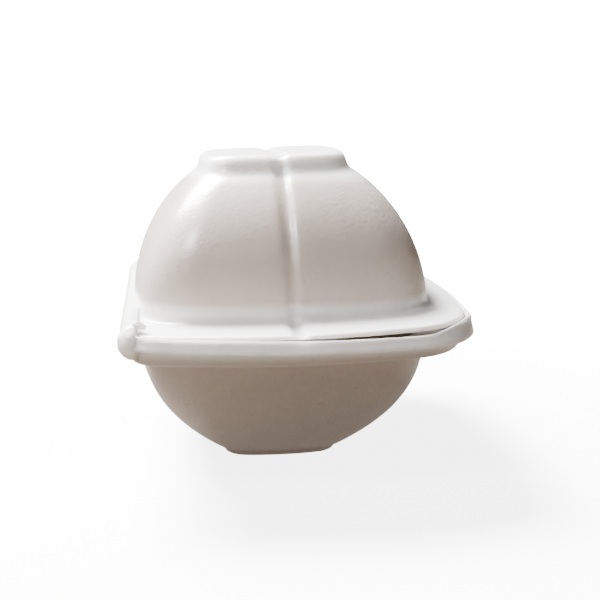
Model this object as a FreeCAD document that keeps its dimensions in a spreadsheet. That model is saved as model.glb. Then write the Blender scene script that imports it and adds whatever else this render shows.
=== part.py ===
import FreeCAD, Part
import math
import os

import Sketcher

# Foam clamshell container: one thermoformed sheet of foam, folded at a hinge along its left side.
# Millimetres. The origin is the centre of the face that the tray's foot rests on, +Z is up,
# the hinge is on the -X side and the lid opens from the +X side.

V = FreeCAD.Vector
UP = V(0, 0, 1)

SIZES = {
    # The foam sheet and the gaps between the two halves.
    "foam_wall": 2.2,            # wall of the bowl and the dome
    "flange_wall": 1.8,          # the flatter, more pressed sheet of both flanges
    "seat_gap": 0.3,             # between the lid's flange and the tray's flange under it
    "edge_gap": 0.4,             # between the lid's edge and the rim bead round it
    # The tray, from its foot up.
    "foot_half": 21.4,           # half the width of the foot
    "foot_lean": 1.0,            # how far its side leans out
    "foot_edge": 1.2,            # rounding of its lower edge
    "bowl_half": 51.2,           # half the width at the top of the bowl
    "bowl_low_half": 20.0,       # where the bowl's curve would end under the foot
    "bowl_height": 46.7,         # top of the bowl, where the ledge steps out
    "rim_height": 7.0,           # from the ledge up to the seat of the lid's flange
    "bead_width": 3.1,           # rim bead round the lid's flange
    "bead_rise": 2.1,            # bead above the seat
    "bead_drop": 2.2,            # bead below the seat
    "bead_edge": 1.5,            # outer rounding of the bead
    "bead_inner_edge": 0.5,      # inner rounding of the bead
    "bead_under_edge": 0.8,      # rounding under the bead
    "skirt_in": 5.5,             # the skirt's lower edge inside the outer face of the bead
    "skirt_lean": 2.2,           # how far the skirt leans out up to the bead
    "skirt_edge": 1.4,           # rounding between the skirt and the ledge
    "ledge_left": 0.6,           # the ledge beside the bowl on the hinge side
    # The outline of the lid's flange, from the top of the bowl.
    "flange_front": 18.3,        # to the middle of the front and the back edge
    "flange_right": 10.4,        # to the edge on the opening side
    "flange_left": 2.2,          # to the edge on the hinge side
    "lid_corner": 25.0,          # corners on the opening side
    "hinge_corner": 11.0,        # corners on the hinge side
    "front_bow": 191.0,          # radius of the bowed front and back edges
    "right_bow": 330.0,          # radius of the bowed edge on the opening side
    "hinge_bow": 6000.0,         # the hinge side is all but straight
    # The dome of the lid.
    "dome_out": 0.6,             # outside the top of the bowl, where it leaves the flange
    "dome_high_half": 24.7,      # where its curve would end under the pad
    "dome_rise": 46.9,           # height of that curve above the flange
    "dome_foot": 1.5,            # rounding between the flange and the dome
    "neck_radius": 4.0,          # hollow between the dome and the pad
    "pad_out": 1.0,              # the pad's side outside the end of the dome's curve
    "pad_lift": 5.1,             # top of the pad above the end of the dome's curve
    "pad_edge": 3.2,             # rounding of the pad's upper edge
    # The groove across the lid, midway between the hinge and the opening side.
    "groove_radius": 2.6,
    "groove_depth": 1.1,
    # The hinge.
    "crease_reach": 2.0,         # the crease from the lid's edge
    "crease_rise": 1.5,          # the crease above the lid's flange
    "crease_radius": 0.6,        # the thin foam at the crease
    "crease_gap": 0.3,           # between the two halves at the crease
    "hinge_short": 1.4,          # the crease's half length is shorter than the bowl's half width
    "hinge_web": 2.2,            # the tray's rim beside the crease
    "hinge_foot": 2.2,           # how deep the upright under the crease stands in the rim
    "hinge_lip": 1.7,            # the lid's rising lip beside the crease
    # At rest the lid isn't pressed shut.
    "ajar_rise": 3.2,            # its free edge above where it lies when shut
}

# Rounded-square sections: the radii of the corners and of the bowed sides, as shares of the
# section's own half width.
CORNER_SHARE = 0.40
BOW_SHARE = 3.8

# The curves of the dome and the bowl: powers of the cosine and the sine of the turn.
DOME_SIDE_POWER = 1.55
DOME_RISE_POWER = 0.95
BOWL_SIDE_POWER = 2.09
BOWL_RISE_POWER = 0.91

# Turns, in degrees, at which the sections of each curve are set.
DOME_TURNS = (0, 18, 33, 46, 58, 67, 74)
DOME_FOOT_TURNS = (90, 60, 30, 5)
NECK_SHARES = (0, 0.5, 1)
PAD_TURNS = (26, 53, 80)
BOWL_TURNS = (68, 56, 42, 26, 12, 0)

# A groove cut level across a sloping wall is deeper by one over this cosine at most.
GROOVE_SLOPE_LIMIT = 0.6
# The upper edge of the lid's flange is rounded by this share of its thickness.
FLANGE_EDGE_SHARE = 0.4
# The crease's seat opens between these turns, and the lip meets the crease at these.
SEAT_TURNS = (-65, -125)
LIP_TURNS = (70, -70)
# The upright and the lip reach this share of the sheet into what carries them.
ROOT_SHARE = 0.9

doc = FreeCAD.newDocument("clamshell")
sheet = doc.addObject("Spreadsheet::Sheet", "Sizes")
for row, (alias, value) in enumerate(SIZES.items(), start=1):
    sheet.set(f"A{row}", alias)
    sheet.set(f"B{row}", str(value))
    sheet.setAlias(f"B{row}", alias)
doc.recompute()

# Sizes that are worked out from others.
WORKED = {
    "tray_height": "(bowl_height + rim_height)",
    "lid_front": "(bowl_half + flange_front)",
    "lid_right": "(bowl_half + flange_right)",
    "lid_left": "(bowl_half + flange_left)",
    "dome_half": "(bowl_half + dome_out)",
    "pad_half": "(dome_high_half + pad_out)",
    "pad_rise": "(dome_rise + pad_lift)",
    "crease_out": "(bowl_half + flange_left + crease_reach)",
    "hinge_half": "(bowl_half - hinge_short)",
}


def bound(text):
    """Write an expression with each size's name turned into a cell of the sheet."""
    for word, meaning in WORKED.items():
        text = text.replace(word, meaning)
    words = sorted(SIZES, key=len, reverse=True)
    for place, word in enumerate(words):
        text = text.replace(word, f"<{place}>")
    for place, word in enumerate(words):
        text = text.replace(f"<{place}>", f"Sizes.{word}")
    return text


def number(text):
    """The value of an expression, as a plain number."""
    value = sheet.evalExpression(bound(text))
    return float(getattr(value, "Value", value))


def new_body(name):
    """A body whose label names its file."""
    body = doc.addObject("PartDesign::Body", name)
    body.Label = name
    doc.recompute()
    return body


def origin_plane(body, role):
    """One of the body's own origin planes."""
    return next(item for item in body.Origin.OriginFeatures if item.Role == role)


def new_sketch(body, name, role, level="0"):
    """A sketch on an origin plane, raised by an expression."""
    sketch = body.newObject("Sketcher::SketchObject", name)
    sketch.AttachmentSupport = [(origin_plane(body, role), "")]
    sketch.MapMode = "FlatFace"
    sketch.AttachmentOffset = FreeCAD.Placement(V(0, 0, number(level)), FreeCAD.Rotation())
    sketch.setExpression("AttachmentOffset.Base.z", bound(level))
    return sketch


def tie(sketch, name, constraint, expression):
    """Add a named constraint and bind it to the sheet."""
    index = sketch.addConstraint(constraint)
    sketch.renameConstraint(index, name)
    sketch.setExpression(f"Constraints.{name}", bound(expression))


def corner_place(bow_x, inset_x, bow_y, inset_y, corner):
    """Centre of a corner arc that touches the side arc and the front arc from inside.

    The side arc's centre is inset_x beyond the middle, and the front arc's inset_y.
    """
    reach_x = bow_x - corner
    reach_y = bow_y - corner
    span = math.hypot(inset_x, inset_y)
    along = (reach_x ** 2 - reach_y ** 2 + span ** 2) / (2 * span)
    off = math.sqrt(reach_x ** 2 - along ** 2)
    to_front = V(inset_x, -inset_y, 0) / span
    across = V(inset_y, inset_x, 0) / span
    return V(-inset_x, 0, 0) + to_front * along + across * off


def rounded_outline(body, name, level, right, left, front, bows, corners, groove=None):
    """A sketch of a rectangle with bowed sides and round corners.

    right, left and front are expressions for the distances of its sides from the middle.
    bows are the radii of its right, front and left sides, the back one being as the front
    one, and corners the radii of its corners on the right and on the left. groove is the
    radius and the depth of a notch in the front and back sides.
    """
    sketch = new_sketch(body, name, "XY_Plane", level)
    right_bow, bow, left_bow = bows
    right_radius = number(right_bow)
    radius = number(bow)
    left_radius = number(left_bow)
    inset = {
        "right": right_radius - number(right),
        "left": left_radius - number(left),
        "front": radius - number(front),
    }
    corner = {"right": number(corners[0]), "left": number(corners[1])}
    place = {
        "right": corner_place(right_radius, inset["right"], radius, inset["front"],
                              corner["right"]),
        "left": corner_place(left_radius, inset["left"], radius, inset["front"], corner["left"]),
    }
    side_swing = {
        side: math.atan2(place[side].y, place[side].x + inset[side]) for side in place
    }
    front_swing = {
        side: math.atan2(place[side].x, place[side].y + inset["front"]) for side in place
    }

    def arc(centre, size, start, end):
        return Part.ArcOfCircle(Part.Circle(centre, UP, size), start, end)

    quarter = math.pi / 2
    right_middle = V(-inset["right"], 0, 0)
    left_middle = V(inset["left"], 0, 0)
    back_middle = V(0, -inset["front"], 0)
    front_middle = V(0, inset["front"], 0)
    corner_middle = {
        "back_right": V(place["right"].x, place["right"].y, 0),
        "back_left": V(-place["left"].x, place["left"].y, 0),
        "front_left": V(-place["left"].x, -place["left"].y, 0),
        "front_right": V(place["right"].x, -place["right"].y, 0),
    }
    notch_open = 0.0
    notch_turn = 0.0
    if groove:
        notch = number(groove[0])
        notch_out = number(front) - number(groove[1]) + notch
        meet_y = (radius ** 2 - inset["front"] ** 2 - notch ** 2 + notch_out ** 2)
        meet_y /= 2 * (inset["front"] + notch_out)
        meet_x = math.sqrt(notch ** 2 - (meet_y - notch_out) ** 2)
        notch_open = math.atan2(meet_x, meet_y + inset["front"])
        notch_turn = math.atan2(meet_x, notch_out - meet_y)

    arcs = []
    index = {}

    def draw(label, centre, size, start, end):
        index[label] = len(arcs)
        arcs.append(arc(centre, size, start, end))

    draw("right", right_middle, right_radius, -side_swing["right"], side_swing["right"])
    draw("back_right", corner_middle["back_right"], corner["right"],
         side_swing["right"], quarter - front_swing["right"])
    draw("back_a", back_middle, radius, quarter - front_swing["right"],
         quarter - notch_open if groove else quarter + front_swing["left"])
    if groove:
        draw("back_notch", V(0, notch_out, 0), notch,
             3 * quarter - notch_turn, 3 * quarter + notch_turn)
        draw("back_b", back_middle, radius, quarter + notch_open, quarter + front_swing["left"])
    draw("back_left", corner_middle["back_left"], corner["left"],
         quarter + front_swing["left"], 2 * quarter - side_swing["left"])
    draw("left", left_middle, left_radius,
         2 * quarter - side_swing["left"], 2 * quarter + side_swing["left"])
    draw("front_left", corner_middle["front_left"], corner["left"],
         2 * quarter + side_swing["left"], 3 * quarter - front_swing["left"])
    draw("front_a", front_middle, radius, 3 * quarter - front_swing["left"],
         3 * quarter - notch_open if groove else 3 * quarter + front_swing["right"])
    if groove:
        draw("front_notch", V(0, -notch_out, 0), notch,
             quarter - notch_turn, quarter + notch_turn)
        draw("front_b", front_middle, radius,
             3 * quarter + notch_open, 3 * quarter + front_swing["right"])
    draw("front_right", corner_middle["front_right"], corner["right"],
         3 * quarter + front_swing["right"], 4 * quarter - side_swing["right"])
    sketch.addGeometry(arcs, False)

    last_back = "back_b" if groove else "back_a"
    last_front = "front_b" if groove else "front_a"
    smooth = [
        ("right", "back_right"), ("back_right", "back_a"),
        (last_back, "back_left"), ("back_left", "left"),
        ("left", "front_left"), ("front_left", "front_a"),
        (last_front, "front_right"), ("front_right", "right"),
    ]
    start, end, middle = 1, 2, 3
    rules = [Sketcher.Constraint("Tangent", index[a], end, index[b], start) for a, b in smooth]
    sides = ["back_a", "front_a"]
    if groove:
        sides += ["back_b", "front_b"]
        for face in ("back", "front"):
            first, cut, second = index[f"{face}_a"], index[f"{face}_notch"], index[f"{face}_b"]
            rules += [
                Sketcher.Constraint("Coincident", first, end, cut, end),
                Sketcher.Constraint("Coincident", cut, start, second, start),
                Sketcher.Constraint("Coincident", first, middle, second, middle),
                Sketcher.Constraint("PointOnObject", cut, middle, -2),
            ]
        rules.append(Sketcher.Constraint("Equal", index["back_notch"], index["front_notch"]))
    rules += [Sketcher.Constraint("Equal", index["back_a"], index[side]) for side in sides[1:]]
    rules += [
        Sketcher.Constraint("Equal", index["back_right"], index["front_right"]),
        Sketcher.Constraint("Equal", index["back_left"], index["front_left"]),
        Sketcher.Constraint("PointOnObject", index["right"], middle, -1),
        Sketcher.Constraint("PointOnObject", index["left"], middle, -1),
        Sketcher.Constraint("PointOnObject", index["back_a"], middle, -2),
        Sketcher.Constraint("PointOnObject", index["front_a"], middle, -2),
    ]
    sketch.addConstraint(rules)

    tie(sketch, "bow", Sketcher.Constraint("Radius", index["back_a"], radius), bow)
    tie(sketch, "right_bow",
        Sketcher.Constraint("Radius", index["right"], right_radius), right_bow)
    tie(sketch, "left_bow",
        Sketcher.Constraint("Radius", index["left"], left_radius), left_bow)
    tie(sketch, "corner_right",
        Sketcher.Constraint("Radius", index["back_right"], corner["right"]), corners[0])
    tie(sketch, "corner_left",
        Sketcher.Constraint("Radius", index["back_left"], corner["left"]), corners[1])
    tie(sketch, "right",
        Sketcher.Constraint("DistanceX", index["right"], middle, -1, start, inset["right"]),
        f"({right_bow}) - ({right})")
    tie(sketch, "left",
        Sketcher.Constraint("DistanceX", -1, start, index["left"], middle, inset["left"]),
        f"({left_bow}) - ({left})")
    tie(sketch, "back",
        Sketcher.Constraint("DistanceY", index["back_a"], middle, -1, start, inset["front"]),
        f"({bow}) - ({front})")
    tie(sketch, "front",
        Sketcher.Constraint("DistanceY", -1, start, index["front_a"], middle, inset["front"]),
        f"({bow}) - ({front})")
    if groove:
        notch_text = f"({front}) - ({groove[1]}) + ({groove[0]})"
        tie(sketch, "notch",
            Sketcher.Constraint("Radius", index["back_notch"], notch), groove[0])
        tie(sketch, "notch_back",
            Sketcher.Constraint("DistanceY", -1, start, index["back_notch"], middle, notch_out),
            notch_text)
        tie(sketch, "notch_front",
            Sketcher.Constraint("DistanceY", index["front_notch"], middle, -1, start, notch_out),
            notch_text)
    return sketch


def square_section(body, name, half, level, cut="0", groove=False, slope=0.0):
    """A section of the bowl or the dome: a rounded square.

    half and level are expressions for the outer section. cut is how far the inner face lies
    inside it, and slope how far, in degrees, the surface there has turned to face up or down.
    """
    inner = f"({half}) - ({cut})"
    corner = f"({half}) * {CORNER_SHARE} - ({cut})"
    bow = f"({half}) * {BOW_SHARE} - ({cut})"
    notch = None
    if groove:
        level_cut = max(math.cos(math.radians(slope)), GROOVE_SLOPE_LIMIT)
        depth = f"groove_depth / {level_cut:.4f}"
        notch = (f"groove_radius + ({cut})", depth)
    return rounded_outline(body, name, level, inner, inner, inner,
                           (bow, bow, bow), (corner, corner), notch)


def loft(body, kind, name, sections, ruled=False):
    """A loft through the sections, added to the body or cut from it."""
    feature = body.newObject(f"PartDesign::{kind}Loft", name)
    feature.Profile = sections[0]
    feature.Sections = sections[1:]
    feature.Ruled = ruled
    doc.recompute()
    return feature


def pad(body, name, sketch, length, both_ways=False):
    """A pad whose length is bound to the sheet."""
    feature = body.newObject("PartDesign::Pad", name)
    feature.Profile = sketch
    feature.setExpression("Length", bound(length))
    if both_ways:
        feature.SideType = "Symmetric"
    doc.recompute()
    return feature


def pocket(body, name, sketch, length):
    """A pocket whose depth is bound to the sheet."""
    feature = body.newObject("PartDesign::Pocket", name)
    feature.Profile = sketch
    feature.setExpression("Length", bound(length))
    doc.recompute()
    return feature


def lies_on(edge, outline, level):
    """Whether an edge is part of an outline that was carried to a level."""
    middle = edge.valueAt((edge.FirstParameter + edge.LastParameter) / 2)
    drawn = outline.Shape.BoundBox.ZMin
    flat = V(middle.x, middle.y, drawn)
    close = 0.01
    return (abs(middle.z - level) < close
            and edge.BoundBox.ZLength < close
            and outline.Shape.distToShape(Part.Vertex(flat))[0] < close)


def fillet(body, name, radius, outlines):
    """Round the edges of the body that follow outlines, each given with its level."""
    base = body.Tip
    edges = [
        f"Edge{place}" for place, edge in enumerate(base.Shape.Edges, start=1)
        if any(lies_on(edge, outline, number(level)) for outline, level in outlines)
    ]
    feature = body.newObject("PartDesign::Fillet", name)
    feature.Base = (base, edges)
    feature.setExpression("Radius", bound(radius))
    doc.recompute()
    return feature


def crossing_cylinder(body, kind, name, radius, length, start, level):
    """A cylinder along Y, whose first end is at start."""
    feature = body.newObject(f"PartDesign::{kind}Cylinder", name)
    feature.setExpression("Radius", bound(radius))
    feature.setExpression("Height", bound(length))
    feature.AttachmentSupport = [(origin_plane(body, "XY_Plane"), "")]
    feature.MapMode = "FlatFace"
    lying = FreeCAD.Rotation(V(1, 0, 0), -90)
    feature.AttachmentOffset = FreeCAD.Placement(V(0, number(start), number(level)), lying)
    feature.setExpression("AttachmentOffset.Base.y", bound(start))
    feature.setExpression("AttachmentOffset.Base.z", bound(level))
    doc.recompute()
    return feature


def side_profile(body, name, corners, arcs=None):
    """A closed sketch in the XZ plane through corners, each a pair of expressions.

    arcs gives, for the run that starts at a corner's place in the list, the centre, as a pair
    of expressions, and the sense of an arc that takes the straight line's place.
    """
    sketch = new_sketch(body, name, "XZ_Plane")
    points = [V(number(across), number(level), 0) for across, level in corners]
    arcs = arcs or {}
    start, end, middle = 1, 2, 3
    runs = []
    ends = []
    for place, point in enumerate(points):
        following = points[(place + 1) % len(points)]
        if place in arcs:
            centre_pair, anticlockwise = arcs[place]
            centre = V(number(centre_pair[0]), number(centre_pair[1]), 0)
            first, last = (point, following) if anticlockwise else (following, point)
            turn = [math.atan2(spot.y - centre.y, spot.x - centre.x) for spot in (first, last)]
            if turn[1] < turn[0]:
                turn[1] += 2 * math.pi
            runs.append(Part.ArcOfCircle(Part.Circle(centre, UP, (point - centre).Length), *turn))
            ends.append((start, end) if anticlockwise else (end, start))
        else:
            runs.append(Part.LineSegment(point, following))
            ends.append((start, end))
    sketch.addGeometry(runs, False)
    total = len(runs)
    sketch.addConstraint([
        Sketcher.Constraint("Coincident", place, ends[place][1],
                            (place + 1) % total, ends[(place + 1) % total][0])
        for place in range(total)
    ])
    for place, (across, level) in enumerate(corners):
        hold = (place, ends[place][0])
        value = number(across)
        tie(sketch, f"across_{place}",
            Sketcher.Constraint("DistanceX", -1, start, *hold, value), across)
        tie(sketch, f"level_{place}",
            Sketcher.Constraint("DistanceY", -1, start, *hold, number(level)), level)
    for place, (centre_pair, _) in arcs.items():
        tie(sketch, f"middle_{place}",
            Sketcher.Constraint("DistanceX", -1, start, place, middle, number(centre_pair[0])),
            centre_pair[0])
    return sketch


# Stations of the two curves: half width, height and the turn of the outward normal.

def dome_station(turn):
    """A point of the dome's curve above the flange."""
    half = f"(dome_high_half + (dome_half - dome_high_half) * cos({turn} deg) ^ {DOME_SIDE_POWER})"
    rise = f"(dome_rise * sin({turn} deg) ^ {DOME_RISE_POWER})"
    return half, rise, dome_normal(turn)


def dome_normal(turn):
    """The turn of the dome's outward normal at a point of its curve, in degrees."""
    if turn == 0:
        return 0.0
    angle = math.radians(turn)
    across = (number("dome_half") - number("dome_high_half")) * DOME_SIDE_POWER
    across *= math.cos(angle) ** (DOME_SIDE_POWER - 1) * math.sin(angle)
    along = number("dome_rise") * DOME_RISE_POWER
    along *= math.sin(angle) ** (DOME_RISE_POWER - 1) * math.cos(angle)
    return round(math.degrees(math.atan2(across, along)), 2)


def dome_foot_station(turn):
    """A point of the hollow rounding between the flange and the dome."""
    half = f"(dome_half + dome_foot * (1 - cos({turn} deg)))"
    rise = f"(dome_foot * (1 - sin({turn} deg)))"
    return half, rise, turn


def neck_station(share):
    """A point of the hollow between the dome and the pad, from the dome's last point on."""
    half, rise, first = dome_station(DOME_TURNS[-1])
    turn = first + (PAD_TURNS[0] - first) * share
    half = f"({half} + neck_radius * (cos({first} deg) - cos({turn:.2f} deg)))"
    rise = f"({rise} + neck_radius * (sin({first} deg) - sin({turn:.2f} deg)))"
    return half, rise, turn


def pad_station(turn):
    """A point of the rounding round the top of the pad."""
    first = PAD_TURNS[0]
    half = f"(pad_half + pad_edge * (cos({turn} deg) - cos({first} deg)))"
    rise = f"(pad_rise - pad_edge * (1 - sin({turn} deg)))"
    return half, rise, turn


def dome_stations():
    """The stations of the dome, whose first one is sunk through the flange."""
    stations = [dome_station(turn) for turn in DOME_TURNS]
    half, _, turn = stations[0]
    return [(half, "(-flange_wall)", turn)] + stations[1:]


def pad_stations():
    """The stations of the pad: the hollow under it, its side and its rounded edge."""
    hollow = [neck_station(share) for share in NECK_SHARES]
    edge = [pad_station(turn) for turn in PAD_TURNS]
    half = f"(({hollow[-1][0]} + {edge[0][0]}) / 2)"
    rise = f"(({hollow[-1][1]} + {edge[0][1]}) / 2)"
    return hollow + [(half, rise, PAD_TURNS[0])] + edge


def bowl_station(turn):
    """A point of the bowl's curve, from the foot up to the ledge."""
    half = f"(bowl_low_half + (bowl_half - bowl_low_half) * cos({turn} deg) ^ {BOWL_SIDE_POWER})"
    level = f"(bowl_height * (1 - sin({turn} deg) ^ {BOWL_RISE_POWER}))"
    return half, level, turn


# Places that both halves share.
LID_UNDER = "(tray_height + seat_gap)"
LID_TOP = "(tray_height + seat_gap + flange_wall)"
CREASE = ("-crease_out", f"({LID_TOP} + crease_rise)")
RIM_RIGHT = "lid_right + edge_gap"
RIM_LEFT = "lid_left + edge_gap"
RIM_FRONT = "lid_front + edge_gap"


def skirt_outline(tray, name, level, inward, cut="0"):
    """An outline of the skirt under the bead, inside the bead's outer face by inward.

    cut is how far the skirt's inner face lies inside its outer one.
    """
    inset = f"(edge_gap + bead_width - ({inward}) - ({cut}))"
    left = f"(ledge_left + (skirt_in - ({inward})) - ({cut}))"
    return rounded_outline(
        tray, name, level,
        f"lid_right + {inset}", f"bowl_half + {left}", f"lid_front + {inset}",
        (f"right_bow + {inset}", f"front_bow + {inset}", "hinge_bow"),
        (f"lid_corner + {inset}", f"hinge_corner + {left} - flange_left"))


def make_tray():
    """The lower half: a bowl on a foot, a ledge, a skirt round it and a rim bead."""
    tray = new_body("base_tray")
    loft(tray, "Additive", "bowl", [
        square_section(tray, f"bowl_outer_{place}", half, level)
        for place, (half, level, _) in enumerate(map(bowl_station, BOWL_TURNS))
    ])
    _, bowl_floor, _ = bowl_station(BOWL_TURNS[0])
    sole = square_section(tray, "foot_sole", "foot_half", "0")
    loft(tray, "Additive", "foot", [
        sole,
        square_section(tray, "foot_top", "foot_half + foot_lean", bowl_floor),
    ], ruled=True)
    fillet(tray, "foot_rounding", "foot_edge", [(sole, "0")])

    flange_under = "(tray_height - bead_drop)"
    skirt_low = skirt_outline(tray, "skirt_low", "bowl_height", "skirt_in")
    loft(tray, "Additive", "skirt", [
        skirt_low,
        skirt_outline(tray, "skirt_high", flange_under, "skirt_in - skirt_lean"),
    ], ruled=True)
    fillet(tray, "skirt_rounding", "skirt_edge", [(skirt_low, "bowl_height")])

    rim = rounded_outline(
        tray, "rim_outline", flange_under,
        f"{RIM_RIGHT} + bead_width", f"{RIM_LEFT} + hinge_web", f"{RIM_FRONT} + bead_width",
        ("right_bow + edge_gap + bead_width", "front_bow + edge_gap + bead_width", "hinge_bow"),
        ("lid_corner + edge_gap + bead_width", "hinge_corner + edge_gap + hinge_web"))
    pad(tray, "rim", rim, "bead_drop + bead_rise")
    seat = rounded_outline(
        tray, "seat_outline", "tray_height + bead_rise",
        RIM_RIGHT, RIM_LEFT, RIM_FRONT,
        ("right_bow + edge_gap", "front_bow + edge_gap", "hinge_bow"),
        ("lid_corner + edge_gap", "hinge_corner + edge_gap"))
    pocket(tray, "seat", seat, "bead_rise")

    fillet(tray, "rim_rounding", "bead_edge", [(rim, "tray_height + bead_rise")])
    fillet(tray, "rim_under_rounding", "bead_under_edge", [(rim, flange_under)])
    fillet(tray, "rim_inner_rounding", "bead_inner_edge", [
        (seat, "tray_height + bead_rise")])

    make_tray_inside(tray)
    make_tray_hinge(tray)
    return tray


def make_tray_inside(tray):
    """Hollow the bowl and the skirt, which leaves a wall of one sheet."""
    stations = [bowl_station(turn) for turn in BOWL_TURNS]
    sections = [
        square_section(tray, f"bowl_inner_{place}", half, f"{level} + foam_wall * sin({turn} deg)",
                       f"foam_wall * cos({turn} deg)")
        for place, (half, level, turn) in enumerate(stations)
    ]
    sections.append(square_section(tray, "bowl_mouth", "bowl_half", "bowl_height + foam_wall",
                                   "foam_wall"))
    loft(tray, "Subtractive", "bowl_inside", sections)
    _, bowl_floor, turn = stations[0]
    loft(tray, "Subtractive", "foot_inside", [
        square_section(tray, "foot_floor", "foot_half", "foam_wall", "foam_wall"),
        square_section(tray, "foot_mouth", "foot_half + foot_lean",
                       f"{bowl_floor} + foam_wall * sin({turn} deg)", "foam_wall"),
    ], ruled=True)
    loft(tray, "Subtractive", "skirt_inside", [
        skirt_outline(tray, "shelf_low", "bowl_height + foam_wall", "skirt_in", "foam_wall"),
        skirt_outline(tray, "shelf_high", "tray_height + bead_rise", "skirt_in - skirt_lean",
                      "foam_wall"),
    ], ruled=True)


def make_tray_hinge(tray):
    """The thin upright along the hinge that ends in a seat under the crease."""
    across, level = CREASE
    reach = "(crease_radius + crease_gap)"
    low = "(tray_height + bead_rise - hinge_foot)"
    inner, outer = SEAT_TURNS
    profile = side_profile(tray, "hinge_profile", [
        (f"-({RIM_LEFT}) - hinge_web * {ROOT_SHARE}", low),
        (f"-({RIM_LEFT}) - hinge_web * (1 - {ROOT_SHARE})", low),
        (f"{across} + {reach} * cos({inner} deg)", f"{level} + {reach} * sin({inner} deg)"),
        (f"{across} + {reach} * cos({outer} deg)", f"{level} + {reach} * sin({outer} deg)"),
    ], {2: (CREASE, False)})
    pad(tray, "hinge_upright", profile, "2 * hinge_half", both_ways=True)


def lid_sections(lid, name, stations, wall="0"):
    """Grooved sections at stations of the lid's curve, inside it by the wall."""
    steepest = dome_normal(DOME_TURNS[-1])
    return [
        square_section(lid, f"{name}_{place}", half,
                       f"{LID_TOP} + {rise} - ({wall}) * sin({turn:.2f} deg)",
                       f"({wall}) * cos({turn:.2f} deg)", groove=True, slope=min(turn, steepest))
        for place, (half, rise, turn) in enumerate(stations)
    ]


def make_lid():
    """The upper half: a dome with a raised pad, a flange and a groove across it all."""
    lid = new_body("lid")
    loft(lid, "Additive", "dome", lid_sections(lid, "dome_outer", dome_stations()))
    loft(lid, "Additive", "top_pad", lid_sections(lid, "pad_outer", pad_stations()))
    flare = [dome_foot_station(turn) for turn in DOME_FOOT_TURNS]
    sections = [square_section(lid, "flare_root", flare[0][0], f"{LID_TOP} - flange_wall / 2",
                               groove=True)]
    sections += [
        square_section(lid, f"flare_{place}", half, f"{LID_TOP} + {rise}", groove=True)
        for place, (half, rise, _) in enumerate(flare)
    ]
    loft(lid, "Additive", "dome_foot", sections, ruled=True)
    edge = rounded_outline(
        lid, "lid_outline", LID_UNDER, "lid_right", "lid_left", "lid_front",
        ("right_bow", "front_bow", "hinge_bow"), ("lid_corner", "hinge_corner"))
    pad(lid, "flange", edge, "flange_wall")
    fillet(lid, "flange_rounding", f"flange_wall * {FLANGE_EDGE_SHARE}", [(edge, LID_TOP)])
    make_lid_inside(lid)
    make_lid_groove(lid)
    make_lid_hinge(lid)
    set_ajar(lid)
    return lid


def set_ajar(lid):
    """Turn the shut lid about the crease until its free edge has risen to its place at rest."""
    across, level = CREASE
    angle = "atan(ajar_rise / (lid_right + crease_out))"
    base_x = f"({across}) * (1 - cos({angle})) + ({level}) * sin({angle})"
    base_z = f"({level}) * (1 - cos({angle})) - ({across}) * sin({angle})"
    turn = FreeCAD.Rotation(V(0, -1, 0), number(angle))
    lid.Placement = FreeCAD.Placement(V(number(base_x), 0, number(base_z)), turn)
    lid.setExpression("Placement.Rotation.Angle", bound(angle))
    lid.setExpression("Placement.Base.x", bound(base_x))
    lid.setExpression("Placement.Base.z", bound(base_z))
    doc.recompute()


def make_lid_inside(lid):
    """Hollow the dome and the pad, which leaves a wall of one sheet."""
    loft(lid, "Subtractive", "dome_inside",
         lid_sections(lid, "dome_inner", dome_stations(), "foam_wall"))
    loft(lid, "Subtractive", "pad_inside",
         lid_sections(lid, "pad_inner", pad_stations(), "foam_wall"))


def make_lid_groove(lid):
    """The groove's straight runs: over the pad and across the flange, front and back."""
    pad_axis = f"{LID_TOP} + pad_rise - groove_depth + groove_radius"
    flange_axis = f"{LID_TOP} - groove_depth + groove_radius"
    first = "(dome_half + dome_foot - groove_depth)"
    run = "(lid_front - dome_half)"
    crossing_cylinder(lid, "Subtractive", "pad_groove", "groove_radius",
                      "2 * (pad_half + pad_edge)", "-(pad_half + pad_edge)", pad_axis)
    crossing_cylinder(lid, "Subtractive", "back_groove", "groove_radius", run, first, flange_axis)
    crossing_cylinder(lid, "Subtractive", "front_groove", "groove_radius",
                      run, f"-({first} + {run})", flange_axis)


def make_lid_hinge(lid):
    """The lip along the hinge, which rises from the flange to the crease."""
    across, level = CREASE
    upper, lower = LIP_TURNS
    profile = side_profile(lid, "lip_profile", [
        ("-lid_left", f"{LID_TOP} - flange_wall * {ROOT_SHARE}"),
        ("hinge_lip - lid_left", f"{LID_TOP} - flange_wall * {ROOT_SHARE}"),
        ("hinge_lip - lid_left", LID_TOP),
        (f"{across} + crease_radius * cos({upper} deg)",
         f"{level} + crease_radius * sin({upper} deg)"),
        (f"{across} + crease_radius * cos({lower} deg)",
         f"{level} + crease_radius * sin({lower} deg)"),
        ("-lid_left", f"{LID_TOP} + seat_gap / 2"),
    ], {3: (CREASE, True)})
    pad(lid, "hinge_lip", profile, "2 * hinge_half", both_ways=True)


def write_parts(bodies):
    """Stop on anything failed or broken, then write each piece to its own file."""
    doc.recompute()
    for item in doc.Objects:
        if "Invalid" in item.State or "Error" in item.State:
            raise RuntimeError(f"{item.Name} failed: {item.State}")
    os.makedirs("parts", exist_ok=True)
    for body in bodies:
        shape = body.Shape
        if shape.isNull() or not shape.isValid() or len(shape.Solids) != 1:
            raise RuntimeError(f"{body.Label} is not one valid solid")
        box = shape.optimalBoundingBox()
        corners = [round(value, 2) for value in (box.XMin, box.XMax, box.YMin, box.YMax,
                                                 box.ZMin, box.ZMax)]
        print(body.Label, "volume", round(shape.Volume), "faces", len(shape.Faces), corners)
        shape.exportStep(f"parts/{body.Label}.step")


write_parts([make_tray(), make_lid()])
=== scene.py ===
"""Looks of a small foam clamshell container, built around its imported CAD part."""

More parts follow.
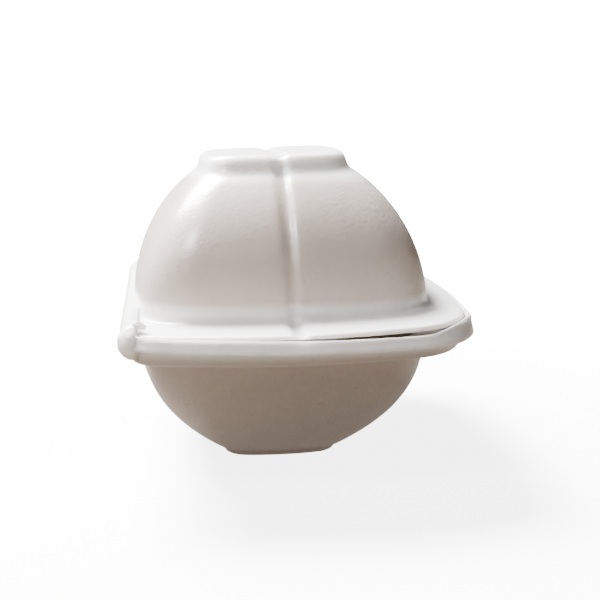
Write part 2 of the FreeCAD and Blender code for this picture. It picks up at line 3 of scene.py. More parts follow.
import logging  # noqa: E402
import math  # noqa: E402
from dataclasses import dataclass  # noqa: E402
from enum import Enum  # noqa: E402

import bpy  # noqa: E402
from mathutils import Matrix, Vector  # noqa: E402


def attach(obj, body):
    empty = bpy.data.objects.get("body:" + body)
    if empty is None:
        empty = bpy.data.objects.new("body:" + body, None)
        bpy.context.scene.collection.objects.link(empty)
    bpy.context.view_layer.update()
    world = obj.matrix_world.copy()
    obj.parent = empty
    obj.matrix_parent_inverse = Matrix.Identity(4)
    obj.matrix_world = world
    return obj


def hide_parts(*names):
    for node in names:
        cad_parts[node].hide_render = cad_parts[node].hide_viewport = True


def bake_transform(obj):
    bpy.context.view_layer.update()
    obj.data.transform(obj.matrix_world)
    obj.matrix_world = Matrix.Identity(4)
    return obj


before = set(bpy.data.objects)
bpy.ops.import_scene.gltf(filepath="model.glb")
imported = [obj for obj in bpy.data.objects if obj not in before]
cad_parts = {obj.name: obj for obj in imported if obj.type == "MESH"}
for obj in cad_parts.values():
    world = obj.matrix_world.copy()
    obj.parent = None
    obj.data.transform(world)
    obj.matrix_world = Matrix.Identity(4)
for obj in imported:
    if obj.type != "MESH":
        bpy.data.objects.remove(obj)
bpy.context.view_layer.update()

LOG = logging.getLogger("foam_container")
MM = 0.001


class Body(Enum):
    """The two bodies of the container's joint."""

    TRAY = "tray_half"
    LID = "lid_half"


class NodeKit:
    """Short ways to add shader nodes to one node tree.

    Args:
        tree: The tree that the nodes go into.
    """

    def __init__(self, tree: bpy.types.NodeTree) -> None:
        self.tree = tree

    def add(self, kind: str, **values: object) -> bpy.types.Node:
        """Adds a node and sets its inputs.

        Args:
            kind: The node's type.
            values: Input names, with an underscore for each blank, and their values.

        Returns:
            The node.
        """
        node = self.tree.nodes.new(kind)
        for name, value in values.items():
            node.inputs[name.replace("_", " ")].default_value = value
        return node

    def join(self, start: bpy.types.NodeSocket, end: bpy.types.NodeSocket) -> None:
        """Links an output to an input."""
        self.tree.links.new(start, end)

    def math(self, operation: str, first: object, second: object = 0.0) -> bpy.types.NodeSocket:
        """Adds a math node over two numbers or outputs.

        Args:
            operation: The node's operation.
            first: A number or an output.
            second: A number or an output.

        Returns:
            Its output.
        """
        node = self.tree.nodes.new("ShaderNodeMath")
        node.operation = operation
        for socket, value in zip(node.inputs, (first, second)):
            if isinstance(value, (int, float)):
                socket.default_value = value
            else:
                self.join(value, socket)
        return node.outputs[0]

    def fade(self, value: object, start: float, end: float) -> bpy.types.NodeSocket:
        """Adds a smooth step of a value, from nothing at start to one at end.

        Args:
            value: The output that is read.
            start: Where the step begins.
            end: Where it is complete.

        Returns:
            Its output.
        """
        node = self.tree.nodes.new("ShaderNodeMapRange")
        node.interpolation_type = "SMOOTHSTEP"
        node.inputs["From Min"].default_value = start
        node.inputs["From Max"].default_value = end
        self.join(value, node.inputs["Value"])
        return node.outputs["Result"]


def new_group(name: str, result: str, kind: str) -> tuple[bpy.types.NodeTree, NodeKit]:
    """Makes a shader node group that turns a position into one result.

    Args:
        name: Name of the group.
        result: Name of its output.
        kind: Socket type of its output.
    """
    group = bpy.data.node_groups.new(name, "ShaderNodeTree")
    group.interface.new_socket("Vector", in_out="INPUT", socket_type="NodeSocketVector")
    group.interface.new_socket(result, in_out="OUTPUT", socket_type=kind)
    return group, NodeKit(group)


@dataclass(frozen=True)
class FoamFinish:
    """Smooth-skinned expanded foam: warm off-white, satin, with a faint bead grain.

    Args:
        name: Name of the material.
        color: Base colour of the skin, linear.
        warm_color: Colour of the slightly denser, warmer patches.
        painted_light_color: Painted light: the lighter colour of the rim and the raised pad,
            standing in for the light that falls there.
        painted_rim_level: Height of the middle of that painted rim light, in metres.
        painted_rim_core: How far above and below it the painted light is full, in metres.
        painted_rim_reach: How far above and below it the painted light ends, in metres.
        painted_pad_level: Height from which the pad's painted light is full, in metres.
        painted_pad_fade: Over what height below that the painted light fades in, in metres.
        patch_scale: Scale of the warmer patches, per metre.
        patch_share: How strongly they show.
        speck_scale: Scale of the fine specks, per metre.
        speck_share: How strongly they show.
        sheen_scale: Scale of the wandering roughness, per metre.
        roughness: Mean roughness of the skin.
        roughness_spread: How much the roughness wanders about its mean.
        bead_size: Size of one foam bead, in metres.
        bead_height: Height of the bead grain, in metres.
        fine_ratio: How many times finer the grain on the beads is.
        fine_share: Its height, as a share of the beads' height.
        wave_size: Size of the soft waves that the press leaves, in metres.
        wave_height: Height of the soft waves, in metres.
        soak: Share of the light that spreads inside the foam.
        soak_depth: How far it spreads, in metres.
        soak_tint: The share of that depth for red, green and blue.
        gloss: Strength of the skin's own reflection.
        coat: Strength of the pressed, shinier outer skin.
        coat_roughness: Roughness of that outer skin.
    """

    name: str
    color: tuple[float, float, float] = (0.575, 0.51, 0.465)
    warm_color: tuple[float, float, float] = (0.505, 0.435, 0.385)
    painted_light_color: tuple[float, float, float] = (0.93, 0.895, 0.87)
    painted_rim_level: float = 56.0 * MM
    painted_rim_core: float = 3.85 * MM
    painted_rim_reach: float = 8.25 * MM
    painted_pad_level: float = 103.0 * MM
    painted_pad_fade: float = 4.0 * MM
    patch_scale: float = 42.0
    patch_share: float = 0.75
    speck_scale: float = 900.0
    speck_share: float = 0.3
    sheen_scale: float = 120.0
    roughness: float = 0.30
    roughness_spread: float = 0.14
    bead_size: float = 1.1 * MM
    bead_height: float = 0.08 * MM
    fine_ratio: float = 2.3
    fine_share: float = 0.35
    wave_size: float = 22.0 * MM
    wave_height: float = 0.45 * MM
    soak: float = 0.55
    soak_depth: float = 5.0 * MM
    soak_tint: tuple[float, float, float] = (1.0, 0.9, 0.8)
    gloss: float = 0.45
    coat: float = 0.4
    coat_roughness: float = 0.22

    def grain_group(self) -> bpy.types.NodeTree:
        """Makes the height of the skin: bead grain over soft waves.

        Returns:
            The group, whose output feeds a bump's height in metres.
        """
        group, kit = new_group(f"{self.name}_grain", "Height", "NodeSocketFloat")
        entry = group.nodes.new("NodeGroupInput")
        leave = group.nodes.new("NodeGroupOutput")
        beads = kit.add("ShaderNodeTexVoronoi", Scale=1.0 / self.bead_size, Randomness=1.0)
        beads.feature = "SMOOTH_F1"
        fine_scale = self.fine_ratio / self.bead_size
        fine = kit.add("ShaderNodeTexNoise", Scale=fine_scale, Detail=2.0)
        waves = kit.add("ShaderNodeTexNoise", Scale=1.0 / self.wave_size, Detail=1.5)
        for node in (beads, fine, waves):
            kit.join(entry.outputs["Vector"], node.inputs["Vector"])
        bead_part = kit.math("MULTIPLY", beads.outputs["Distance"], -self.bead_height)
        fine_height = self.bead_height * self.fine_share
        fine_part = kit.math("MULTIPLY", fine.outputs["Fac"], fine_height)
        wave_part = kit.math("MULTIPLY", waves.outputs["Fac"], self.wave_height)
        skin = kit.math("ADD", bead_part, fine_part)
        kit.join(kit.math("ADD", skin, wave_part), leave.inputs["Height"])
        return group

    def tone_group(self) -> bpy.types.NodeTree:
        """Makes the colour of the skin: off-white with warmer patches, and painted light on the
        rim and pad.

        Returns:
            The group, whose output feeds the base colour.
        """
        group, kit = new_group(f"{self.name}_tone", "Color", "NodeSocketColor")
        entry = group.nodes.new("NodeGroupInput")
        leave = group.nodes.new("NodeGroupOutput")
        patches = kit.add(
            "ShaderNodeTexNoise", Scale=self.patch_scale, Detail=5.0, Roughness=0.6
        )
        specks = kit.add("ShaderNodeTexNoise", Scale=self.speck_scale, Detail=1.0)
        for node in (patches, specks):
            kit.join(entry.outputs["Vector"], node.inputs["Vector"])
        patch_part = kit.math("MULTIPLY", patches.outputs["Fac"], self.patch_share)
        speck_part = kit.math("MULTIPLY", specks.outputs["Fac"], self.speck_share)
        mix = group.nodes.new("ShaderNodeMix")
        mix.data_type = "RGBA"
        mix.inputs["A"].default_value = (*self.color, 1.0)
        mix.inputs["B"].default_value = (*self.warm_color, 1.0)
        kit.join(kit.math("ADD", patch_part, speck_part), mix.inputs["Factor"])
        parts = group.nodes.new("ShaderNodeSeparateXYZ")
        kit.join(entry.outputs["Vector"], parts.inputs["Vector"])
        height = parts.outputs["Z"]
        # Painted light: the band round the rim and the top of the pad are mixed towards a
        # lighter colour.
        away = kit.math("ABSOLUTE", kit.math("SUBTRACT", height, self.painted_rim_level))
        painted_rim_share = kit.fade(away, self.painted_rim_reach, self.painted_rim_core)
        painted_pad_share = kit.fade(height, self.painted_pad_level - self.painted_pad_fade, self.painted_pad_level)
        white = group.nodes.new("ShaderNodeMix")
        white.data_type = "RGBA"
        white.inputs["B"].default_value = (*self.painted_light_color, 1.0)
        kit.join(mix.outputs["Result"], white.inputs["A"])
        kit.join(kit.math("MAXIMUM", painted_rim_share, painted_pad_share), white.inputs["Factor"])
        kit.join(white.outputs["Result"], leave.inputs["Color"])
        return group

    def build(self) -> bpy.types.Material:
        """Makes the material.

        Returns:
            The foam material.
        """
        material = bpy.data.materials.new(self.name)
        material.use_nodes = True
        kit = NodeKit(material.node_tree)
        shader = material.node_tree.nodes["Principled BSDF"]
        coords = kit.add("ShaderNodeTexCoord")

        tone = kit.add("ShaderNodeGroup")
        tone.node_tree = self.tone_group()
        kit.join(coords.outputs["Object"], tone.inputs["Vector"])
        kit.join(tone.outputs["Color"], shader.inputs["Base Color"])

        sheen = kit.add("ShaderNodeTexNoise", Scale=self.sheen_scale, Detail=3.0)
        kit.join(coords.outputs["Object"], sheen.inputs["Vector"])
        low = self.roughness - self.roughness_spread / 2
        wander = kit.math("MULTIPLY", sheen.outputs["Fac"], self.roughness_spread)
        kit.join(kit.math("ADD", wander, low), shader.inputs["Roughness"])

        grain = kit.add("ShaderNodeGroup")
        grain.node_tree = self.grain_group()
        kit.join(coords.outputs["Object"], grain.inputs["Vector"])
        bump = kit.add("ShaderNodeBump", Strength=1.0, Distance=1.0)
        kit.join(grain.outputs["Height"], bump.inputs["Height"])
        kit.join(bump.outputs["Normal"], shader.inputs["Normal"])

        shader.inputs["Subsurface Weight"].default_value = self.soak
        shader.inputs["Subsurface Radius"].default_value = self.soak_tint
        shader.inputs["Subsurface Scale"].default_value = self.soak_depth
        shader.inputs["Specular IOR Level"].default_value = self.gloss
        shader.inputs["Coat Weight"].default_value = self.coat
        shader.inputs["Coat Roughness"].default_value = self.coat_roughness
        return material


@dataclass(frozen=True)
class RimWarp:
    """How the thin flanges of a pressed foam box stray from their true plane.

    Both halves are bent by the same amounts, so they still lie on each other.

    Args:
        lift: How far the flanges rise beside the hinge, in metres.
        drop: How far they sink on the opening side, in metres.
        level: Height of the flanges, in metres.
        reach: How far above and below them the bend fades out, in metres.
        fold_start: Where the fold begins to be pressed flatter, in metres along X.
        fold_share: The share of its depth that is left there.
        seat: Height of the seat inside the rim bead, in metres.
        bead_gain: The share by which the bead stands higher on the opening side.
        gain_start: Where it begins to rise, in metres along X.
        gain_run: Over what length it rises, in metres.
        bead_low: Height of the bead's lower edge, in metres.
        bead_tall: Height of the bead above that, in metres.
        bead_slant: How far its outer face leans back at the top, in metres.
        side_slant: The share of that on faces that look along X.
        still: Half sizes of the middle, along X and Y, that doesn't lean, in metres.
        half_side: Half the length over which the flanges rise and sink, in metres.
        outer: Distance from the middle at which the bend is full, in metres.
    """

    lift: float = 1.5 * MM
    drop: float = 0.9 * MM
    level: float = 54.5 * MM
    reach: float = 9.0 * MM
    fold_start: float = -52.0 * MM
    fold_share: float = 0.5
    seat: float = 53.7 * MM
    bead_gain: float = 1.1
    gain_start: float = 40.0 * MM
    gain_run: float = 15.0 * MM
    bead_low: float = 51.6 * MM
    bead_tall: float = 5.0 * MM
    bead_slant: float = 3.3 * MM
    side_slant: float = 0.3
    still: tuple[float, float] = (60.5 * MM, 51.0 * MM)
    half_side: float = 60.0 * MM
    outer: float = 62.0 * MM

    def bend(self, spot: Vector) -> Vector:
        """Moves one point of the foam.

        Args:
            spot: Where the drawing has it.

        Returns:
            Where the pressed foam has it.
        """
        x, y, z = spot
        if x < self.fold_start:
            x = self.fold_start + (x - self.fold_start) * self.fold_share
        fade = max(0.0, 1.0 - ((z - self.level) / self.reach) ** 2) ** 2
        side = max(-1.0, min(1.0, x / self.half_side))
        outward = min(1.0, max(abs(x), abs(y)) / self.outer) ** 3
        rise = -side * (self.lift if side < 0 else self.drop)
        return Vector((x, y, z + rise * fade * outward))

    def raise_bead(self, spot: Vector) -> Vector:
        """Lifts the rim bead on the opening side, where the press left it taller."""
        x, y, z = spot
        if z <= self.seat:
            return spot
        ramp = max(0.0, min(1.0, (x - self.gain_start) / self.gain_run))
        ramp = ramp * ramp * (3.0 - 2.0 * ramp)
        return Vector((x, y, z + (z - self.seat) * self.bead_gain * ramp))

    def slant_bead(self, mesh: bpy.types.Mesh) -> None:
        """Leans the bead's outer face back towards its top.

        Args:
            mesh: The tray's mesh.
        """
        moves = []
        for vertex in mesh.vertices:
            x, y, z = vertex.co
            share = (z - self.bead_low) / self.bead_tall
            outward = Vector((vertex.normal.x * self.side_slant, vertex.normal.y, 0.0))
            looks_out = outward.dot(Vector((x, y, 0.0))) > 0.0
            on_bead = max(abs(x) / self.still[0], abs(y) / self.still[1]) >= 1.0
            if share > 0.0 and looks_out and on_bead and x >= self.fold_start:
                moves.append((vertex, outward * min(share, 1.0) * self.bead_slant))
        for vertex, move in moves:
            vertex.co -= move


@dataclass
class FoamHalf:
    """One half of the container: its packed form, merged, bent and dressed.

    Args:
        node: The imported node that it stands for.
        name: Its own name.
        body: The body that it rides on.
        finish: Its material.
        warp: How its flange strays.
        grain: Size of the even mesh that takes the drawing's place, in metres.
        softness: Strength of one smoothing, from none to one.
        softening: How often that mesh is smoothed.
        groove_softening: How often it is smoothed again along the groove.
        groove_depth: How much deeper the groove is pressed after that, in metres.
        groove_width: Half width of that pressing, in metres.
        groove_inner: How far to each side the groove is smoothed in full, in metres.
        groove_outer: Where that smoothing ends, in metres.
        inside_height: Height of a point inside the lid that tells in from out, in metres.
        merge_distance: Points closer than this become one, in metres.
    """

    node: str
    name: str
    body: Body
    finish: bpy.types.Material
    warp: RimWarp
    grain: float = 1.0 * MM
    softness: float = 0.5
    softening: int = 4
    groove_softening: int = 6
    groove_depth: float = 0.5 * MM
    groove_width: float = 1.5 * MM
    groove_inner: float = 4.5 * MM
    groove_outer: float = 8.0 * MM
    inside_height: float = 20.0 * MM
    merge_distance: float = 0.001 * MM

    def build(self) -> bpy.types.Object:
        """Makes the half.

        Returns:
            Its object.
        """
        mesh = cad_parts[self.node].data.copy()
        mesh.name = self.name
        half = bpy.data.objects.new(self.name, mesh)
        bpy.context.scene.collection.objects.link(half)
        select_only(half)
        bpy.ops.object.mode_set(mode="EDIT")
        bpy.ops.mesh.select_all(action="SELECT")
        bpy.ops.mesh.remove_doubles(threshold=self.merge_distance)
        bpy.ops.object.mode_set(mode="OBJECT")
        bpy.ops.mesh.customdata_custom_splitnormals_clear()
        for vertex in mesh.vertices:
            if self.body is Body.TRAY:
                vertex.co = self.warp.raise_bead(vertex.co)
            vertex.co = self.warp.bend(vertex.co)
        mesh.remesh_voxel_size = self.grain
        mesh.use_remesh_fix_poles = False
        bpy.ops.object.voxel_remesh()
        if self.body is Body.TRAY:
            self.warp.slant_bead(half.data)
        self.soften(half, self.softening, "")
        if self.body is Body.LID:
            self.press_groove(half)
        bpy.ops.object.shade_smooth()
        mesh = half.data
        mesh.materials.clear()
        mesh.materials.append(self.finish)
        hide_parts(self.node)
        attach(half, self.body.value)
        LOG.info("piece %s: %d faces", self.name, len(mesh.polygons))
        return half

    def soften(self, half: bpy.types.Object, times: int, where: str) -> None:
        """Smooths the even mesh.

        Args:
            half: The half.
            times: How often.
            where: Name of the vertex group that limits it, or nothing.
        """
        soften = half.modifiers.new("soften", "SMOOTH")
        soften.factor = self.softness
        soften.iterations = times
        soften.vertex_group = where
        bpy.ops.object.modifier_apply(modifier=soften.name)

    def press_groove(self, half: bpy.types.Object) -> None:
        """Gives the groove over the lid the soft edges of pressed foam.

        Args:
            half: The lid.
        """
        near = half.vertex_groups.new(name="groove")
        fade = self.groove_outer - self.groove_inner
        for vertex in half.data.vertices:
            share = (self.groove_outer - abs(vertex.co.x)) / fade
            if share > 0.0:
                near.add([vertex.index], min(1.0, share), "REPLACE")
        self.soften(half, self.groove_softening, near.name)
        half.vertex_groups.clear()
        inside = Vector((0.0, 0.0, self.inside_height))
        moves = []
        for vertex in half.data.vertices:
            if vertex.normal.dot(vertex.co - inside) > 0.0:
                depth = self.groove_depth * math.exp(-((vertex.co.x / self.groove_width) ** 2))
                moves.append((vertex, vertex.normal * depth))
        for vertex, move in moves:
            vertex.co -= move


@dataclass
class FoldSheet:
    """The sheet of foam that folds round the crease, with its two crumpled ends.

    Args:
        finish: Its material.
        middle: Centre of the fold, along X and Z, in metres.
        radii: Half depth and half height of the fold, in metres.
        end_swell: How much larger it is at its ends.
        half_length: Half its length along the hinge, in metres.
        wall: Thickness of the sheet, in metres.
        steps: Rings along its length.
        facets: Points round a full turn.
        open_side: Where the round section is open, as a share of its half depth.
        edge_width: Width of its rounded edges, in metres.
        end_start: The share of its half length where its ends begin.
        end_forward: How far its ends stand towards the opening side, in metres.
        end_sink: How far its ends sink, in metres.
        crumple: Height of the small creases at its ends, in metres.
        crease_count: Number of these creases round a full turn.
        crease_twist: How much they turn along the hinge, in radians per metre.
        tuck_down: How far its two long edges are tucked towards its middle, in metres.
        tuck_in: How far they reach further over the two halves, in metres.
        end_place: Centre of the crumpled back end, in metres.
        end_radii: Its half sizes, in metres.
        end_grid: Points round and along its ball.
        end_fold_size: Size of its small folds, in metres.
        end_crumple: Height of its small folds, in metres.
        end_flat: The share by which its inner half is flattened.
        name: Name of the sheet's piece.
    """

    finish: bpy.types.Material
    middle: tuple[float, float] = (-52.4 * MM, 55.0 * MM)
    radii: tuple[float, float] = (2.5 * MM, 4.4 * MM)
    end_swell: float = 1.3
    half_length: float = 60.0 * MM
    wall: float = 1.5 * MM
    steps: int = 44
    facets: int = 40
    open_side: float = 0.55
    edge_width: float = 0.4 * MM
    end_start: float = 0.82
    end_forward: float = 3.0 * MM
    end_sink: float = 0.6 * MM
    crumple: float = 0.35 * MM
    crease_count: float = 5.0
    crease_twist: float = 90.0
    tuck_down: float = 1.6 * MM
    tuck_in: float = 1.2 * MM
    end_place: tuple[float, float, float] = (-50.9 * MM, 58.6 * MM, 54.2 * MM)
    end_radii: tuple[float, float, float] = (5.2 * MM, 5.2 * MM, 5.8 * MM)
    end_grid: tuple[int, int] = (72, 44)
    end_fold_size: float = 3.0 * MM
    end_crumple: float = 0.8 * MM
    end_flat: float = 0.6
    name: str = "hinge_fold"

    def build(self) -> bpy.types.Object:
        """Makes the fold round the crease between the tray and the lid, with its two crumpled
        ends.

        Returns:
            Its object.
        """
        bpy.ops.mesh.primitive_circle_add(
            vertices=self.facets, radius=1.0, location=(0, 0, 0), rotation=(math.pi / 2, 0, 0)
        )
        fold = bpy.context.object
        fold.name = self.name
        bpy.ops.object.transform_apply(location=True, rotation=True, scale=True)
        bpy.ops.object.mode_set(mode="EDIT")
        bpy.ops.mesh.select_all(action="DESELECT")
        bpy.ops.object.mode_set(mode="OBJECT")
        for vertex in fold.data.vertices:
            vertex.select = vertex.co.x > self.open_side
        bpy.ops.object.mode_set(mode="EDIT")
        bpy.ops.mesh.delete(type="VERT")
        bpy.ops.mesh.select_all(action="SELECT")
        deep, high = self.radii
        start = -self.half_length
        bpy.ops.transform.resize(value=(deep, 1.0, high), center_override=(0, 0, 0))
        bpy.ops.transform.translate(value=(self.middle[0], start, self.middle[1]))
        run = 2.0 * self.half_length / self.steps
        for _ in range(self.steps):
            bpy.ops.mesh.extrude_region_move(TRANSFORM_OT_translate={"value": (0.0, run, 0.0)})
        bpy.ops.mesh.select_all(action="SELECT")
        bpy.ops.mesh.normals_make_consistent(inside=False)
        bpy.ops.object.mode_set(mode="OBJECT")
        self.shape_ends(fold)
        solid = fold.modifiers.new("sheet", "SOLIDIFY")
        solid.thickness = self.wall
        solid.offset = 0.0
        edge = fold.modifiers.new("edge", "BEVEL")
        edge.width = self.edge_width
        edge.segments = 3
        edge.limit_method = "ANGLE"
        round_off = fold.modifiers.new("round_off", "SUBSURF")
        round_off.levels = 1
        round_off.render_levels = 1
        for modifier in list(fold.modifiers):
            bpy.ops.object.modifier_apply(modifier=modifier.name)
        bpy.ops.object.shade_smooth()
        fold.data.materials.append(self.finish)
        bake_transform(fold)
        LOG.info("piece %s: %d faces", self.name, len(fold.data.polygons))
        for name, side in (("fold_end_front", -1.0), ("fold_end_back", 1.0)):
            self.make_end(name, side)
        return fold

    def make_end(self, name: str, side: float) -> bpy.types.Object:
        """Makes the crumpled foam that closes an end of the fold.

        Args:
            name: Name of the piece.
            side: Minus one for the front end and one for the back end.

        Returns:
            Its object.
        """
        place = (self.end_place[0], side * self.end_place[1], self.end_place[2])
        around, along = self.end_grid
        bpy.ops.mesh.primitive_uv_sphere_add(
            segments=around, ring_count=along, radius=1.0, location=place
        )
        end = bpy.context.object
        end.name = name
        end.scale = self.end_radii
        bpy.ops.object.transform_apply(location=True, rotation=True, scale=True)
        folds = bpy.data.textures.new(f"{name}_folds", "CLOUDS")
        folds.noise_scale = self.end_fold_size
        folds.noise_depth = 1
        crumple = end.modifiers.new("crumple", "DISPLACE")
        crumple.texture = folds
        crumple.texture_coords = "LOCAL"
        crumple.strength = self.end_crumple
        bpy.ops.object.modifier_apply(modifier=crumple.name)
        for vertex in end.data.vertices:
            inward = max(0.0, vertex.co.x - place[0])
            vertex.co.x -= inward * self.end_flat
        bpy.ops.object.shade_smooth()
        end.data.materials.append(self.finish)
        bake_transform(end)
        LOG.info("piece %s: %d faces", name, len(end.data.polygons))
        return end

    def shape_ends(self, fold: bpy.types.Object) -> None:
        """Swells and crumples the ends of the fold.

        Args:
            fold: The open sheet.
        """
        across, level = self.middle
        for vertex in fold.data.vertices:
            x, y, z = vertex.co
            share = abs(y) / self.half_length
            end = max(0.0, (share - self.end_start) / (1.0 - self.end_start))
            swell = 1.0 + (self.end_swell - 1.0) * end ** 1.5
            turn = math.atan2(z - level, x - across)
            wave = math.sin(self.crease_count * turn + self.crease_twist * y)
            grow = swell * (1.0 + end * self.crumple / self.radii[1] * wave)
            x = across + (x - across) * grow + self.end_forward * end ** 2
            z = level + (z - level) * grow - self.end_sink * end
            edge_x = self.radii[0] * self.open_side
            tuck = max(0.0, min(1.0, (vertex.co.x - across) / edge_x)) ** 2
            z -= math.copysign(self.tuck_down * tuck, z - level)
            vertex.co = (x + self.tuck_in * tuck, y, z)


def select_only(piece: bpy.types.Object) -> None:
    """Makes one object the only selected and active one."""
    bpy.ops.object.select_all(action="DESELECT")
    piece.select_set(True)
    bpy.context.view_layer.objects.active = piece


@dataclass(frozen=True)
class SoftBox:
    """One soft box of the studio.

    Args:
        name: Name of the lamp.
        place: Where it hangs, in metres.
        aim: The point that it faces.
        size: Its side, in metres.
        power: Its power, in watts.
        color: Colour of its light.
    """

    name: str
    place: tuple[float, float, float]
    aim: tuple[float, float, float]
    size: float
    power: float
    color: tuple[float, float, float]

    def hang(self) -> bpy.types.Object:
        """Hangs the soft box.

        Returns:
            The lamp.
        """
        data = bpy.data.lights.new(self.name, "AREA")
        data.size = self.size
        data.energy = self.power
        data.color = self.color
        lamp = bpy.data.objects.new(self.name, data)
        bpy.context.scene.collection.objects.link(lamp)
        lamp.location = self.place
        lamp.rotation_mode = "QUATERNION"
        aim = Vector(self.aim) - Vector(self.place)
        lamp.rotation_quaternion = aim.to_track_quat("-Z", "Y")
        return lamp


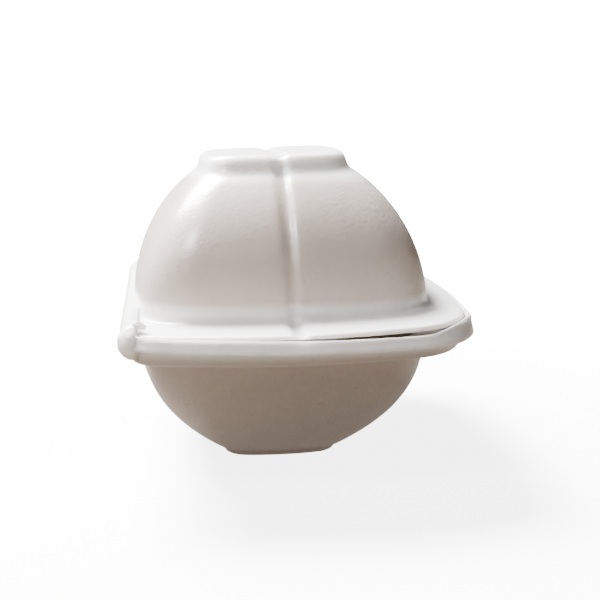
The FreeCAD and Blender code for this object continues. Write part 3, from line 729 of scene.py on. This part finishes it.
@dataclass
class Studio:
    """Floor, backdrop, lights and camera of the photograph.

    Args:
        floor_size: Side of the floor, in metres.
        focal_px: Focal length, in pixels of a picture 600 wide.
        distance: Distance of the camera from the point it is fitted about, in metres.
        azimuth: Turn of the camera towards the hinge, in degrees.
        elevation: Height of the camera above the horizon, in degrees.
        roll: Turn of the camera about its own axis, in degrees.
        aim_px: Where the fitted point falls in a picture of 600 by 600.
        aim_height: Height of the fitted point, in metres.
        picture: Side of the picture that aim_px counts in.
        sensor: Width of the camera's sensor, in millimetres.
        clip_start: Nearest distance that the camera sees, in metres.
        near_glow: Brightness of the floor round the container, kept low as painted shade round
            it.
        far_glow: How much brighter it is far from it.
        shade_near: Where that painted shade begins to lift and the floor gets brighter, in
            metres.
        shade_far: Where the painted shade ends and the floor is brightest, in metres.
        floor_color: Colour of the floor that the camera sees.
        table_color: Colour of the table that lights the container from below.
        haze_color: Colour of the weak light that comes from that table.
        haze_strength: Strength of that light.
        backdrop_glow: Brightness of the backdrop that the camera sees.
        room_color: Colour of the room's light.
        room_strength: Strength of the room's light.
        boxes: The soft boxes.
    """

    floor_size: float = 6.0
    focal_px: float = 968.0
    distance: float = 0.363
    azimuth: float = 6.6
    elevation: float = 12.0
    roll: float = 0.3
    aim_px: tuple[float, float] = (274.8, 296.9)
    aim_height: float = 0.0547
    picture: float = 600.0
    sensor: float = 36.0
    clip_start: float = 0.01
    near_glow: float = 5.0
    far_glow: float = 22.0
    shade_near: float = 0.13
    shade_far: float = 0.42
    floor_color: tuple[float, float, float] = (0.95, 0.95, 0.95)
    table_color: tuple[float, float, float] = (0.07, 0.06, 0.05)
    haze_color: tuple[float, float, float] = (1.0, 0.88, 0.78)
    haze_strength: float = 0.31
    backdrop_glow: float = 24.0
    room_color: tuple[float, float, float] = (1.0, 0.95, 0.91)
    room_strength: float = 0.12
    boxes: tuple[SoftBox, ...] = (
        SoftBox(
            "overhead_box", (-0.32, 0.38, 0.76), (0.0, 0.0, 0.05), 0.42, 104.0, (1.0, 0.99, 0.98)
        ),
        SoftBox(
            "window_box", (-0.42, -0.36, 0.66), (0.0, 0.0, 0.07), 0.14, 5.4, (1.0, 0.98, 0.97)
        ),
    )

    def build(self) -> None:
        """Sets up the floor, the room, the soft boxes and the camera."""
        self.make_floor()
        self.make_world()
        for box in self.boxes:
            box.hang()
        self.make_camera()

    def make_floor(self) -> bpy.types.Object:
        """Lays the pale floor that the container stands on.

        The camera sees it as near white. The light that it gives back is that of a
        duller table, so that the bowl stays as dark as in the photograph.

        Returns:
            The floor.
        """
        bpy.ops.mesh.primitive_plane_add(size=self.floor_size, location=(0, 0, 0))
        floor = bpy.context.object
        floor.name = "studio_floor"
        material = bpy.data.materials.new("pale_floor")
        material.use_nodes = True
        kit = NodeKit(material.node_tree)
        old = material.node_tree.nodes["Principled BSDF"]
        material.node_tree.nodes.remove(old)
        output = material.node_tree.nodes["Material Output"]
        seen = kit.add("ShaderNodeBsdfDiffuse", Color=(*self.floor_color, 1.0))
        glow = kit.add("ShaderNodeEmission", Color=(1.0, 1.0, 1.0, 1.0))
        coords = kit.add("ShaderNodeTexCoord")
        reach = kit.add("ShaderNodeVectorMath")
        reach.operation = "LENGTH"
        kit.join(coords.outputs["Object"], reach.inputs[0])
        # Painted shade: the floor glows less round the container, so it is darker there than far
        # off.
        far = kit.fade(reach.outputs["Value"], self.shade_near, self.shade_far)
        brighter = kit.math("MULTIPLY", far, self.far_glow)
        kit.join(kit.math("ADD", brighter, self.near_glow), glow.inputs["Strength"])
        both = kit.add("ShaderNodeAddShader")
        kit.join(seen.outputs["BSDF"], both.inputs[0])
        kit.join(glow.outputs["Emission"], both.inputs[1])
        table = kit.add("ShaderNodeBsdfDiffuse", Color=(*self.table_color, 1.0))
        haze = kit.add(
            "ShaderNodeEmission", Color=(*self.haze_color, 1.0), Strength=self.haze_strength
        )
        dull = kit.add("ShaderNodeAddShader")
        kit.join(table.outputs["BSDF"], dull.inputs[0])
        kit.join(haze.outputs["Emission"], dull.inputs[1])
        path = kit.add("ShaderNodeLightPath")
        mix = kit.add("ShaderNodeMixShader")
        kit.join(path.outputs["Is Camera Ray"], mix.inputs["Fac"])
        kit.join(dull.outputs["Shader"], mix.inputs[1])
        kit.join(both.outputs["Shader"], mix.inputs[2])
        kit.join(mix.outputs["Shader"], output.inputs["Surface"])
        floor.data.materials.append(material)
        return floor

    def make_world(self) -> None:
        """Fills the room with even light, and shows a white backdrop to the camera."""
        world = bpy.data.worlds.new("studio_room")
        bpy.context.scene.world = world
        world.use_nodes = True
        kit = NodeKit(world.node_tree)
        room = world.node_tree.nodes["Background"]
        room.inputs["Color"].default_value = (*self.room_color, 1.0)
        room.inputs["Strength"].default_value = self.room_strength
        backdrop = kit.add(
            "ShaderNodeBackground", Color=(1.0, 1.0, 1.0, 1.0), Strength=self.backdrop_glow
        )
        path = kit.add("ShaderNodeLightPath")
        mix = kit.add("ShaderNodeMixShader")
        kit.join(path.outputs["Is Camera Ray"], mix.inputs["Fac"])
        kit.join(room.outputs["Background"], mix.inputs[1])
        kit.join(backdrop.outputs["Background"], mix.inputs[2])
        kit.join(mix.outputs["Shader"], world.node_tree.nodes["World Output"].inputs["Surface"])

    def make_camera(self) -> bpy.types.Object:
        """Places the camera where the photograph was taken from.

        Returns:
            The camera.
        """
        data = bpy.data.cameras.new("photo_camera")
        camera = bpy.data.objects.new("photo_camera", data)
        bpy.context.scene.collection.objects.link(camera)
        azimuth = math.radians(self.azimuth)
        elevation = math.radians(self.elevation)
        roll = math.radians(self.roll)
        forward = Vector(
            (
                math.sin(azimuth) * math.cos(elevation),
                math.cos(azimuth) * math.cos(elevation),
                -math.sin(elevation),
            )
        )
        level = Vector((math.cos(azimuth), -math.sin(azimuth), 0.0))
        upright = level.cross(forward)
        right = level * math.cos(roll) - upright * math.sin(roll)
        up = level * math.sin(roll) + upright * math.cos(roll)
        turn = Matrix((right, up, -forward)).transposed()
        target = Vector((0.0, 0.0, self.aim_height))
        camera.rotation_mode = "QUATERNION"
        camera.rotation_quaternion = turn.to_quaternion()
        camera.location = target - forward * self.distance
        data.sensor_width = self.sensor
        data.lens = self.sensor * self.focal_px / self.picture
        data.shift_x = (self.picture / 2 - self.aim_px[0]) / self.picture
        data.shift_y = (self.aim_px[1] - self.picture / 2) / self.picture
        data.clip_start = self.clip_start
        bpy.context.scene.camera = camera
        return camera


def main() -> None:
    """Builds the container's pieces and the studio round them."""
    logging.basicConfig(level=logging.INFO, format="%(name)s: %(message)s")
    tray_skin = FoamFinish("tray_foam_skin").build()
    lid_skin = FoamFinish("lid_foam_skin").build()
    warp = RimWarp()
    FoamHalf("base_tray", "tray_shell", Body.TRAY, tray_skin, warp).build()
    FoamHalf("lid", "lid_shell", Body.LID, lid_skin, warp).build()
    FoldSheet(tray_skin).build()
    Studio().build()


if __name__ == "__main__":
    main()
